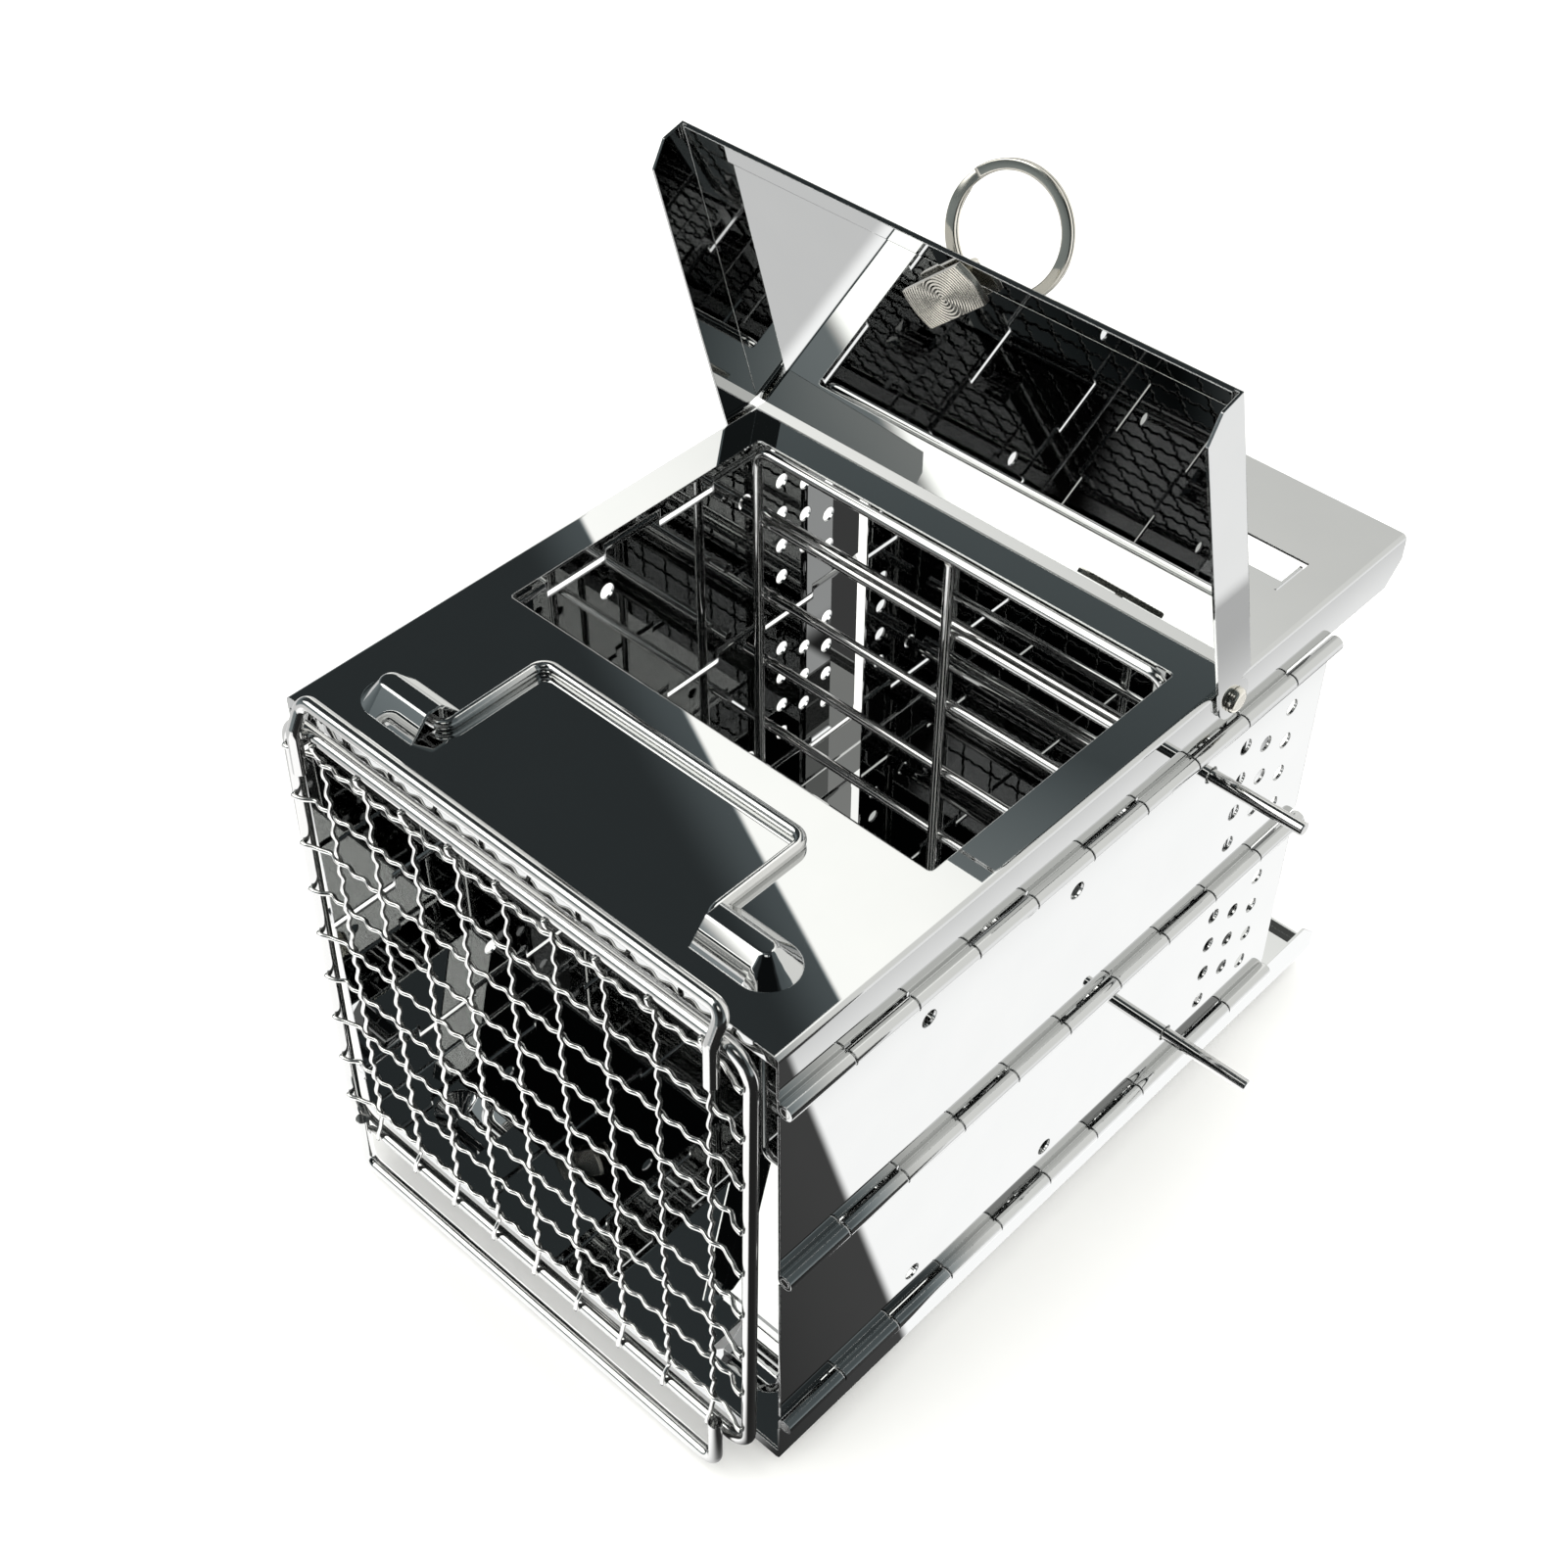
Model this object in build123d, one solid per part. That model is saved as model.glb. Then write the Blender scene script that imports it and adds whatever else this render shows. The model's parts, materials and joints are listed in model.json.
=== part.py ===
from build123d import *

import math
import os

os.makedirs("parts", exist_ok=True)

# A folding sheet-steel small-animal cage with a mesh front and a lid in its top. Millimetres.
# The origin is the middle of the floor's underside; +Z is up and -Y is the mesh front.

# Driving dimensions of the body
HEIGHT = 130.0
WIDTH = 131.0
LENGTH = 191.0
SHEET = 0.6
FRONT = -LENGTH / 2

# Piano hinges
HINGE_DROP = 13.6
HINGE_LENGTH = 167.0
KNUCKLE_RADIUS = 1.75
KNUCKLE_BORE = 1.05
KNUCKLE_COUNT = 10
KNUCKLE_GAP = 0.4
NOTCH_DEPTH = 2.4
PIN_RADIUS = 1.0
HINGE_X = WIDTH / 2 - SHEET + KNUCKLE_RADIUS
PIN_END_GAP = 0.2
PANEL_FRONT_GAP = 0.3
TOP_HINGE = HEIGHT - HINGE_DROP
MIDDLE_HINGE = HEIGHT / 2
BOTTOM_HINGE = HINGE_DROP

# The pressing that makes both the top and the floor
LIP_DEPTH = 2.8
BEND_RADIUS = 1.2
WINDOW_HALF_WIDTH = 56.0
WINDOW_FRONT = 49.7
WINDOW_REAR = 122.5
WINDOW_CORNER = 1.0
SLOT_FRONT = 157.3
SLOT_REAR = 169.0
DOME_Y = 13.8
DOME_MOUTH = 37.0
DOME_END = 56.0
DOME_BASE = 6.3
DOME_RIDGE = 1.9
DOME_RISE = 5.0
DOME_WALL_OVERLAP = 1.0
RIDGE_ROUNDING = 0.6
FLANGE_CHAMFER = 6.0

# Side panel holes
VENT_RADIUS = 1.9
VENT_PITCH = 9.5
VENT_COLUMN_STEP = VENT_PITCH * math.sin(math.radians(60))
VENT_MIDDLE = 147.4
ROD_HOLE_RADIUS = 2.0
ROD_HOLE_FRONT = 39.9
ROD_HOLE_PITCH = 43.5
ROD_INSET = 24.3

# Cross rods
ROD_RADIUS = 1.5
ROD_LEFT_END = -70.0
ROD_RIGHT_END = 88.0
ROD_CHAMFER = 0.25

# Lid and its rivets
PIVOT_Y = FRONT + 128.4
PIVOT_Z = HEIGHT - 3.8
LID_OPEN_ANGLE = 75.0
LID_RISE = 1.3
LID_REACH = 81.5
LID_BACK = 4.3
LID_SIDE_GAP = 0.5
LID_TIP_RADIUS = 4.6
LID_HEM = 4.0
LID_CORNER = 4.5
LID_NECK = 3.0
RIVET_RADIUS = 1.5
RIVET_HEAD_RADIUS = 2.8
RIVET_HEAD = 1.5
RIVET_FLANGE_RADIUS = RIVET_RADIUS + 0.8
RIVET_TAIL = 0.8
SIDE_PLAY = 0.1
RUNNING_CLEARANCE = 0.05

# Turn bar and pull ring on the lid
LATCH_MIDDLE = 2.0
LATCH_REACH = 72.6
LATCH_RADIUS = 11.4
LATCH_WIDTH = 8.9
LATCH_THICKNESS = 1.4
LATCH_GAP = 2.0
LATCH_TURN = 43.0
NECK_RADIUS = 1.6
NECK_GAP = 0.3
STEM_RADIUS = 1.0
STEM_DEPTH = 2.25
STEM_HEAD = 1.4
SOCKET_GAP = 0.02
COLLAR_RADIUS = 2.0
COLLAR_HEIGHT = 0.6
EYE_RADIUS = 2.6
EYE_WIRE = 0.6
EYE_HEIGHT = 3.6
EYE_TURN = 10.0
RING_RADIUS = 12.1
RING_WIRE_WIDTH = 2.2
RING_WIRE_HEIGHT = 2.0
RING_EDGE_ROUNDING = 0.4
RING_STANDING = 36.0
RING_HANG = 0.6
RING_ASIDE = 21.0

# Wire carry handle
HANDLE_WIRE = 1.2
HANDLE_HALF_WIDTH = 35.0
HANDLE_REACH = 26.0
HANDLE_Z = HEIGHT + 1.3
HANDLE_END = 50.0
HANDLE_BEND = 3.0

# Mesh front
MESH_HALF_WIDTH = 62.0
MESH_FOOT = 7.5
MESH_HEIGHT = 121.5
MESH_LEAN = 1.2
MESH_SET_BACK = 5.4
MESH_ROD = 1.5
MESH_CORNER = 6.0
MESH_WIRE = 0.55
MESH_COLUMNS = 9
MESH_ROWS = 9
MESH_PITCH_X = 13.0
MESH_PITCH_Z = 13.4
MESH_FIRST_ROW = 15.4
GRIP_HALF_WIDTH = 55.5
GRIP_LAP = 8.6
GRIP_RISE = 8.0
GRIP_LEAN = 3.2
GRIP_KNEE = 1.5
GRIP_BEND = 2.6
FOOT_DROP = 9.2
FOOT_LAP = 5.6
FOOT_BEND = 3.0
WELD_GAP = 0.02

# Wire divider
DIVIDER_Y = FRONT + 121.2
DIVIDER_WIRE = 1.2
DIVIDER_HALF_WIDTH = 55.3
DIVIDER_BAR_HALF = 62.0
DIVIDER_TOP = HEIGHT - 1.4
DIVIDER_BOTTOM = SHEET + 1.3
DIVIDER_BARS = 6
DIVIDER_BAR_PITCH = 20.7
DIVIDER_TOP_BAR = 107.0
DIVIDER_CORNER = 4.0

# Rear door
DOOR_HALF_WIDTH = 55.0
DOOR_CLEARANCE = 0.6
DOOR_BOTTOM = 0.8
DOOR_TOP = HEIGHT - 1.0
DOOR_LIP = 3.0


def block(x0, x1, y0, y1, z0, z1):
    """A box between two corners."""
    middle = Location(((x0 + x1) / 2, (y0 + y1) / 2, (z0 + z1) / 2))
    return middle * Box(abs(x1 - x0), abs(y1 - y0), abs(z1 - z0))


def rod_between(start, end, radius):
    """A straight round rod between two points."""
    line = Line(start, end)
    return sweep(Plane(line @ 0, z_dir=line % 0) * Circle(radius), path=line)


def wire_path(points, bend, closed=False):
    """A path through the points with every corner rounded to the bend radius."""
    spots = [Vector(*p) for p in points]
    count = len(spots)
    corners = range(count) if closed else range(1, count - 1)
    cuts = {}
    arcs = {}
    for i in corners:
        before = (spots[(i - 1) % count] - spots[i]).normalized()
        after = (spots[(i + 1) % count] - spots[i]).normalized()
        half = math.radians(before.get_angle(after)) / 2
        reach = bend / math.tan(half)
        centre = spots[i] + (before + after).normalized() * (bend / math.sin(half))
        first = spots[i] + before * reach
        last = spots[i] + after * reach
        middle = centre + (spots[i] - centre).normalized() * bend
        cuts[i] = (first, last)
        arcs[i] = ThreePointArc(first, middle, last)
    edges = []
    for i in range(count if closed else count - 1):
        j = (i + 1) % count
        start = cuts[i][1] if i in cuts else spots[i]
        end = cuts[j][0] if j in cuts else spots[j]
        edges.append(Line(start, end))
        if j in arcs:
            edges.append(arcs[j])
    return edges


def bent_wire(points, bend, radius, closed=False):
    """A round wire along straight runs with rounded bends."""
    edges = wire_path(points, bend, closed)
    path = Wire([edge.edge() for edge in edges])
    start = edges[0]
    section = Plane(start @ 0, z_dir=start % 0) * Circle(radius)
    return sweep(section, path=path)


def hinge_spans(leaf):
    """Start and end, from the front edge, of each knuckle on leaf 0 or leaf 1."""
    step = HINGE_LENGTH / KNUCKLE_COUNT
    for i in range(leaf, KNUCKLE_COUNT, 2):
        yield FRONT + i * step + KNUCKLE_GAP / 2, FRONT + (i + 1) * step - KNUCKLE_GAP / 2


def leaf_edge(axis_z, leaf, upward):
    """Knuckles and the sheet that runs into them, for the right-hand side.

    upward says which way the leaf's sheet leaves the axis.
    """
    reach = NOTCH_DEPTH if upward else -NOTCH_DEPTH
    pieces = []
    for y0, y1 in hinge_spans(leaf):
        place = Location((HINGE_X, (y0 + y1) / 2, axis_z), (90, 0, 0))
        tube = place * Cylinder(KNUCKLE_RADIUS, y1 - y0)
        inner = WIDTH / 2 - SHEET
        tongue = block(inner, WIDTH / 2, y0, y1, axis_z, axis_z + reach)
        bore = place * Cylinder(KNUCKLE_BORE, y1 - y0 + 1)
        pieces.append(tube + tongue - bore)
    return pieces


def hinge_pin(axis_z):
    """One hinge pin, for the right-hand side."""
    start = (HINGE_X, FRONT + PIN_END_GAP, axis_z)
    end = (HINGE_X, FRONT + HINGE_LENGTH - PIN_END_GAP, axis_z)
    return rod_between(start, end, PIN_RADIUS)


def mirrored(shape):
    return mirror(shape, about=Plane.YZ)


def dome_form(inset, mouth):
    """The ridged form of a dome, from its mouth to its round outer end, shrunk by the inset."""
    base = DOME_BASE - inset
    ridge = DOME_RIDGE - inset
    rise = DOME_RISE - inset
    half = Polyline((0, -SHEET), (base, -SHEET), (base, 0), (ridge, rise), (0, rise), (0, -SHEET))
    ridge_corner = make_face(half).vertices().group_by(Axis.Y)[-1].sort_by(Axis.X)[-1]
    half = fillet(ridge_corner, ridge * RIDGE_ROUNDING)
    centre = Location((DOME_END - DOME_BASE, FRONT + DOME_Y, HEIGHT))
    round_end = revolve(Plane.XZ * half, Axis.Z)
    ridge_face = Plane.YZ * (half + mirror(half, about=Plane.YZ))
    length = DOME_END - DOME_BASE - mouth
    barrel = extrude(ridge_face, -length)
    return centre * (round_end + barrel)


def with_dome(sheet):
    """Press one dome into the right-hand side of a top sheet, open towards the middle."""
    hollow = dome_form(SHEET, DOME_MOUTH - DOME_WALL_OVERLAP)
    shell = dome_form(0, DOME_MOUTH) - hollow
    return sheet - dome_form(SHEET, DOME_MOUTH) + shell


def pressing():
    """The folded sheet with side flanges, lips, domes, rear slot and hinge knuckles."""
    depth = HINGE_DROP - NOTCH_DEPTH
    floor = HEIGHT - depth
    outer = block(-WIDTH / 2, WIDTH / 2, FRONT, -FRONT, floor, HEIGHT)
    outer = fillet(outer.edges().filter_by(Axis.Y).group_by(Axis.Z)[-1], BEND_RADIUS)
    inside = WIDTH / 2 - SHEET
    room = block(-inside, inside, FRONT + SHEET, -FRONT - SHEET, floor - 1, HEIGHT - SHEET)
    room = fillet(room.edges().filter_by(Axis.Y).group_by(Axis.Z)[-1], BEND_RADIUS - SHEET)
    open_ends = block(-inside, inside, FRONT - 1, -FRONT + 1, floor - 1, HEIGHT - LIP_DEPTH)
    sheet = outer - room - open_ends
    slot = block(
        -WINDOW_HALF_WIDTH, WINDOW_HALF_WIDTH,
        FRONT + SLOT_FRONT, FRONT + SLOT_REAR, HEIGHT - 2, HEIGHT + 1,
    )
    sheet -= slot
    wedge = Plane.YZ * Polygon(
        (-FRONT + 1, floor - 1), (-FRONT - FLANGE_CHAMFER, floor - 1),
        (-FRONT + 1, floor + FLANGE_CHAMFER), align=None,
    )
    sheet -= extrude(wedge, WIDTH, both=True)
    sheet = mirrored(with_dome(mirrored(with_dome(sheet))))
    for knuckle in leaf_edge(TOP_HINGE, 0, upward=True):
        sheet = sheet + knuckle + mirrored(knuckle)
    return sheet


def side_panel(low_axis, high_axis, low_leaf, high_leaf, rod_z):
    """A flat hinged panel for the right-hand side, with its vents and rod holes."""
    inner = WIDTH / 2 - SHEET
    rear = FRONT + HINGE_LENGTH
    low = low_axis + NOTCH_DEPTH
    high = high_axis - NOTCH_DEPTH
    panel = block(inner, WIDTH / 2, FRONT + PANEL_FRONT_GAP, rear, low, high)
    for knuckle in leaf_edge(low_axis, low_leaf, True) + leaf_edge(high_axis, high_leaf, False):
        panel += knuckle
    across = (0, 90, 0)
    middle_z = (low_axis + high_axis) / 2
    for column in (-1, 0, 1):
        count = 3 if column == 0 else 4
        y = FRONT + VENT_MIDDLE + column * VENT_COLUMN_STEP
        for row in range(count):
            z = middle_z + (row - (count - 1) / 2) * VENT_PITCH
            panel -= Location((WIDTH / 2, y, z), across) * Cylinder(VENT_RADIUS, 5)
    for i in range(3):
        y = FRONT + ROD_HOLE_FRONT + i * ROD_HOLE_PITCH
        panel -= Location((WIDTH / 2, y, rod_z), across) * Cylinder(ROD_HOLE_RADIUS, 5)
    return panel


def base_tray():
    """The floor is the same pressing as the top, turned over."""
    return Location((0, 0, HEIGHT)) * Rotation(0, 180, 0) * pressing()


def top_panel():
    sheet = pressing()
    window = block(
        -WINDOW_HALF_WIDTH, WINDOW_HALF_WIDTH,
        FRONT + WINDOW_FRONT, FRONT + WINDOW_REAR, HEIGHT - 2, HEIGHT + 1,
    )
    window = fillet(window.edges().filter_by(Axis.Z), WINDOW_CORNER)
    sheet -= window
    rivet_hole = Location((0, PIVOT_Y, PIVOT_Z), (0, 90, 0)) * Cylinder(
        RIVET_RADIUS + RUNNING_CLEARANCE, WIDTH + 10
    )
    return sheet - rivet_hole


def lid_rivets():
    """Two headed rivets through the top's side flanges and the lid's arms."""
    centre = (PIVOT_Y, PIVOT_Z)
    arm = WIDTH / 2 + LID_SIDE_GAP
    head_face = arm + SHEET + SIDE_PLAY
    tail_face = WIDTH / 2 - SHEET - SIDE_PLAY
    tail_end = tail_face - RIVET_TAIL
    shank = rod_between((tail_end, *centre), (head_face + RIVET_HEAD / 2, *centre), RIVET_RADIUS)
    tail = rod_between((tail_end, *centre), (tail_face, *centre), RIVET_FLANGE_RADIUS)
    head = rod_between((head_face, *centre), (head_face + RIVET_HEAD, *centre), RIVET_HEAD_RADIUS)
    head = fillet(head.edges().group_by(Axis.X)[-1], RIVET_HEAD * 0.8)
    collar = rod_between(
        (WIDTH / 2 + RUNNING_CLEARANCE, *centre), (arm - RUNNING_CLEARANCE, *centre), RIVET_FLANGE_RADIUS
    )
    right = shank + tail + head + collar
    return Compound([right, mirrored(right)])


def opened(shape):
    """Swing a piece that was drawn on the closed lid to its standing position."""
    return shape.rotate(Axis((0, PIVOT_Y, PIVOT_Z), (1, 0, 0)), -LID_OPEN_ANGLE)


def lid_point(x, reach, rise):
    """A point on the closed lid: reach forward of the pivot, rise above the lid's underside."""
    return (x, PIVOT_Y - reach, HEIGHT + LID_RISE + rise)


def latch_point(rise):
    """A point on the turn bar's stem, rise above the closed lid's underside."""
    return lid_point(LATCH_MIDDLE, LATCH_REACH, rise)


def lid_arm():
    """The lid's right-hand side arm, closed, with its round pivot end."""
    inner = WIDTH / 2 + LID_SIDE_GAP
    top = HEIGHT + LID_RISE + SHEET
    front = PIVOT_Y - LID_REACH
    rear = PIVOT_Y - LID_BACK
    bottom = PIVOT_Z - LID_TIP_RADIUS
    outline = Plane.YZ * Polygon(
        (rear, top), (front, top), (front, bottom + LID_CORNER), (front + LID_CORNER, bottom),
        (PIVOT_Y, bottom), (PIVOT_Y, PIVOT_Z), (rear, PIVOT_Z + LID_NECK), align=None,
    )
    side = Location((inner, 0, 0)) * extrude(outline, SHEET)
    tip = Location((inner + SHEET / 2, PIVOT_Y, PIVOT_Z), (0, 90, 0)) * Cylinder(LID_TIP_RADIUS, SHEET)
    return side + tip


def lid():
    """Cover plate with two side arms and a folded free edge."""
    inner = WIDTH / 2 + LID_SIDE_GAP
    outer = inner + SHEET
    plate_z = HEIGHT + LID_RISE
    front = PIVOT_Y - LID_REACH
    plate = block(-outer, outer, front, PIVOT_Y - LID_BACK, plate_z, plate_z + SHEET)
    hem = block(-inner + 1, inner - 1, front, front + LID_HEM, plate_z - SHEET, plate_z)
    arm = lid_arm()
    cover = plate + hem + arm + mirrored(arm)
    pivot_hole = Location((0, PIVOT_Y, PIVOT_Z), (0, 90, 0)) * Cylinder(
        RIVET_RADIUS + RUNNING_CLEARANCE, WIDTH + 10
    )
    stem_hole = Location(latch_point(0)) * Cylinder(STEM_RADIUS + RUNNING_CLEARANCE, 5)
    return opened(cover - pivot_hole - stem_hole)


def latch_plate():
    """Turn bar inside the lid, cut from a round disc, with its neck to the stem."""
    disc = Cylinder(LATCH_RADIUS, LATCH_THICKNESS) & Box(3 * LATCH_RADIUS, LATCH_WIDTH, 2 * LATCH_THICKNESS)
    bar = Location(latch_point(-LATCH_GAP - LATCH_THICKNESS / 2), (0, 0, -LATCH_TURN)) * disc
    neck = rod_between(latch_point(-LATCH_GAP), latch_point(-NECK_GAP), NECK_RADIUS)
    socket_end = latch_point(-STEM_DEPTH - RUNNING_CLEARANCE)
    socket = rod_between(socket_end, latch_point(0), STEM_RADIUS + SOCKET_GAP)
    return opened(bar + neck - socket)


def ring_eye():
    """Wire eye on the lid's outer face, whose stem turns the bar inside."""
    stem = rod_between(latch_point(-STEM_DEPTH), latch_point(SHEET + STEM_HEAD), STEM_RADIUS)
    collar_face = SHEET + SIDE_PLAY
    collar = rod_between(
        latch_point(collar_face), latch_point(collar_face + COLLAR_HEIGHT), COLLAR_RADIUS
    )
    turned = Location(latch_point(SHEET + EYE_HEIGHT), (0, 0, EYE_TURN))
    loop = turned * Location((0, 0, 0), (0, 90, 0)) * Torus(EYE_RADIUS, EYE_WIRE)
    return opened(stem + collar + loop)


def split_ring():
    """Pull ring through the eye, standing at an angle to the lid and hanging to one side."""
    profile = Location((RING_RADIUS, 0, 0)) * RectangleRounded(
        RING_WIRE_WIDTH, RING_WIRE_HEIGHT, RING_WIRE_WIDTH * RING_EDGE_ROUNDING
    )
    band = revolve(Plane.XZ * profile, Axis.Z)
    in_eye = Location(latch_point(SHEET + EYE_HEIGHT), (0, 0, EYE_TURN))
    standing = Location((0, 0, 0), (-RING_STANDING, 0, 0))
    aside = Location((0, 0, 0), (0, 0, RING_ASIDE))
    hanging = Location((0, RING_HANG - RING_RADIUS, 0))
    return opened(in_eye * standing * aside * hanging * band)


def carry_handle():
    """Wire bail whose bent ends turn inside the two domes."""
    y = FRONT + DOME_Y
    z = HANDLE_Z
    points = [
        (-HANDLE_END, y, z), (-HANDLE_HALF_WIDTH, y, z), (-HANDLE_HALF_WIDTH, y + HANDLE_REACH, z),
        (HANDLE_HALF_WIDTH, y + HANDLE_REACH, z), (HANDLE_HALF_WIDTH, y, z), (HANDLE_END, y, z),
    ]
    return bent_wire(points, HANDLE_BEND, HANDLE_WIRE)


def cross_rod(z):
    y = FRONT + ROD_HOLE_FRONT + 2 * ROD_HOLE_PITCH
    rod = rod_between((ROD_LEFT_END, y, z), (ROD_RIGHT_END, y, z), ROD_RADIUS)
    return chamfer(rod.edges().filter_by(GeomType.CIRCLE), ROD_CHAMFER)


def rear_door():
    """Shallow pan that drops through the slot in the top and stands in the slot of the floor."""
    y0 = FRONT + SLOT_FRONT + DOOR_CLEARANCE
    y1 = FRONT + SLOT_REAR - DOOR_CLEARANCE
    pan = block(-DOOR_HALF_WIDTH, DOOR_HALF_WIDTH, y0, y1, DOOR_BOTTOM, DOOR_TOP)
    pan = fillet(pan.edges().filter_by(Axis.Z).group_by(Axis.Y)[0], BEND_RADIUS)
    inside = DOOR_HALF_WIDTH - SHEET
    room = block(-inside, inside, y0 + SHEET, y1 + 1, DOOR_BOTTOM + SHEET, DOOR_TOP - SHEET)
    notch = block(-inside, inside, y0 + SHEET + DOOR_LIP, y1 + 1, DOOR_BOTTOM - 1, DOOR_TOP + 1)
    return pan - room - notch


def divider_frame():
    """The divider's rounded outer frame."""
    w = DIVIDER_HALF_WIDTH
    y = DIVIDER_Y
    points = [
        (w, y, DIVIDER_BOTTOM), (w, y, DIVIDER_TOP), (-w, y, DIVIDER_TOP), (-w, y, DIVIDER_BOTTOM),
    ]
    return bent_wire(points, DIVIDER_CORNER, DIVIDER_WIRE, closed=True)


def divider_middle_wire():
    gap = DIVIDER_WIRE + WELD_GAP
    low = (0, DIVIDER_Y, DIVIDER_BOTTOM + gap)
    high = (0, DIVIDER_Y, DIVIDER_TOP - gap)
    return rod_between(low, high, DIVIDER_WIRE)


def divider_bars():
    """Level bars welded behind the divider's frame, reaching nearly to the side panels."""
    y = DIVIDER_Y + 2 * DIVIDER_WIRE + WELD_GAP
    bars = []
    for i in range(DIVIDER_BARS):
        z = DIVIDER_TOP_BAR - i * DIVIDER_BAR_PITCH
        bars.append(rod_between((-DIVIDER_BAR_HALF, y, z), (DIVIDER_BAR_HALF, y, z), DIVIDER_WIRE))
    return Compound(bars)


def leaned(shape):
    """Place a mesh-front piece, drawn upright about y = 0 and z = 0, against the cage."""
    return Location((0, FRONT - MESH_SET_BACK, MESH_FOOT), (-MESH_LEAN, 0, 0)) * shape


def mesh_frame():
    w = MESH_HALF_WIDTH
    points = [(w, 0, 0), (w, 0, MESH_HEIGHT), (-w, 0, MESH_HEIGHT), (-w, 0, 0)]
    return leaned(bent_wire(points, MESH_CORNER, MESH_ROD, closed=True))


def mesh_upright_wires():
    end = MESH_ROD + WELD_GAP
    wires = []
    for i in range(MESH_COLUMNS):
        x = (i - (MESH_COLUMNS - 1) / 2) * MESH_PITCH_X
        wires.append(rod_between((x, -MESH_WIRE, end), (x, -MESH_WIRE, MESH_HEIGHT - end), MESH_WIRE))
    return leaned(Compound(wires))


def mesh_level_wires():
    end = MESH_HALF_WIDTH - MESH_ROD - WELD_GAP
    y = MESH_WIRE + WELD_GAP
    wires = []
    for i in range(MESH_ROWS):
        z = MESH_FIRST_ROW - MESH_FOOT + i * MESH_PITCH_Z
        wires.append(rod_between((-end, y, z), (end, y, z), MESH_WIRE))
    return leaned(Compound(wires))


def mesh_grip():
    """Wire grip that stands above the top of the mesh front."""
    y = -2 * MESH_ROD - WELD_GAP
    w = GRIP_HALF_WIDTH
    low = MESH_HEIGHT - GRIP_LAP
    knee = MESH_HEIGHT + GRIP_KNEE
    high = MESH_HEIGHT + GRIP_RISE
    points = [
        (-w, y, low), (-w, y, knee), (-w, y + GRIP_LEAN, high),
        (w, y + GRIP_LEAN, high), (w, y, knee), (w, y, low),
    ]
    return leaned(bent_wire(points, GRIP_BEND, MESH_ROD))


def mesh_foot():
    """Wire stirrup below the mesh front."""
    y = -2 * MESH_ROD - WELD_GAP
    w = GRIP_HALF_WIDTH
    points = [(-w, y, FOOT_LAP), (-w, y, -FOOT_DROP), (w, y, -FOOT_DROP), (w, y, FOOT_LAP)]
    return leaned(bent_wire(points, FOOT_BEND, MESH_ROD))


def save(name, shape):
    """Write one node, as a single solid or as a group of separate solids."""
    solids = shape.solids()
    body = solids[0] if len(solids) == 1 else Compound(list(solids))
    body.label = name
    export_step(body, f"parts/{name}.step")


def main():
    upper = side_panel(MIDDLE_HINGE, TOP_HINGE, 0, 1, HEIGHT - ROD_INSET)
    lower = side_panel(BOTTOM_HINGE, MIDDLE_HINGE, 1, 1, ROD_INSET)
    nodes = {
        "base_tray": base_tray(),
        "top_panel": top_panel(),
        "right_upper_panel": upper,
        "right_lower_panel": lower,
        "left_upper_panel": mirrored(upper),
        "left_lower_panel": mirrored(lower),
        "lid": lid(),
        "lid_rivets": lid_rivets(),
        "latch_plate": latch_plate(),
        "ring_eye": ring_eye(),
        "split_ring": split_ring(),
        "carry_handle": carry_handle(),
        "upper_cross_rod": cross_rod(HEIGHT - ROD_INSET),
        "lower_cross_rod": cross_rod(ROD_INSET),
        "rear_door": rear_door(),
        "divider_frame": divider_frame(),
        "divider_middle_wire": divider_middle_wire(),
        "divider_bars": divider_bars(),
        "mesh_frame": mesh_frame(),
        "mesh_upright_wires": mesh_upright_wires(),
        "mesh_level_wires": mesh_level_wires(),
        "mesh_grip": mesh_grip(),
        "mesh_foot": mesh_foot(),
    }
    for level, axis_z in (("bottom", BOTTOM_HINGE), ("middle", MIDDLE_HINGE), ("top", TOP_HINGE)):
        nodes[f"right_{level}_hinge_pin"] = hinge_pin(axis_z)
        nodes[f"left_{level}_hinge_pin"] = mirrored(hinge_pin(axis_z))
    for name, shape in nodes.items():
        save(name, shape)


main()
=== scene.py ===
import json
import math

import bmesh
import bpy
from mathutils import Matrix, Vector


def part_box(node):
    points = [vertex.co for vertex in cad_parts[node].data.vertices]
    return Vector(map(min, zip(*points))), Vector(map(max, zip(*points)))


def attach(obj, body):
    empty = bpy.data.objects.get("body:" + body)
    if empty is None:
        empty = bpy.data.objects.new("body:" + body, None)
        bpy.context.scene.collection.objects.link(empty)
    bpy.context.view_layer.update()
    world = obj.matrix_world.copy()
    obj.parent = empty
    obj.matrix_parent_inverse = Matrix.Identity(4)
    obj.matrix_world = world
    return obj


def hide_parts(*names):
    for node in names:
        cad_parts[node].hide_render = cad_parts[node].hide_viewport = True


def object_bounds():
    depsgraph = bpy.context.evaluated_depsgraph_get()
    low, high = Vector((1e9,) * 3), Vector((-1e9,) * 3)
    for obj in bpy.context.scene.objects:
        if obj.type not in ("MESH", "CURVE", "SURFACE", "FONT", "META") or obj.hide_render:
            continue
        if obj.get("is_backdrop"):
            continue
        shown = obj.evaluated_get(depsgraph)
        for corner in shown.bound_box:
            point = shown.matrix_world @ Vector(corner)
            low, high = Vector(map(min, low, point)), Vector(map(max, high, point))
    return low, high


MM = 0.001
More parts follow.
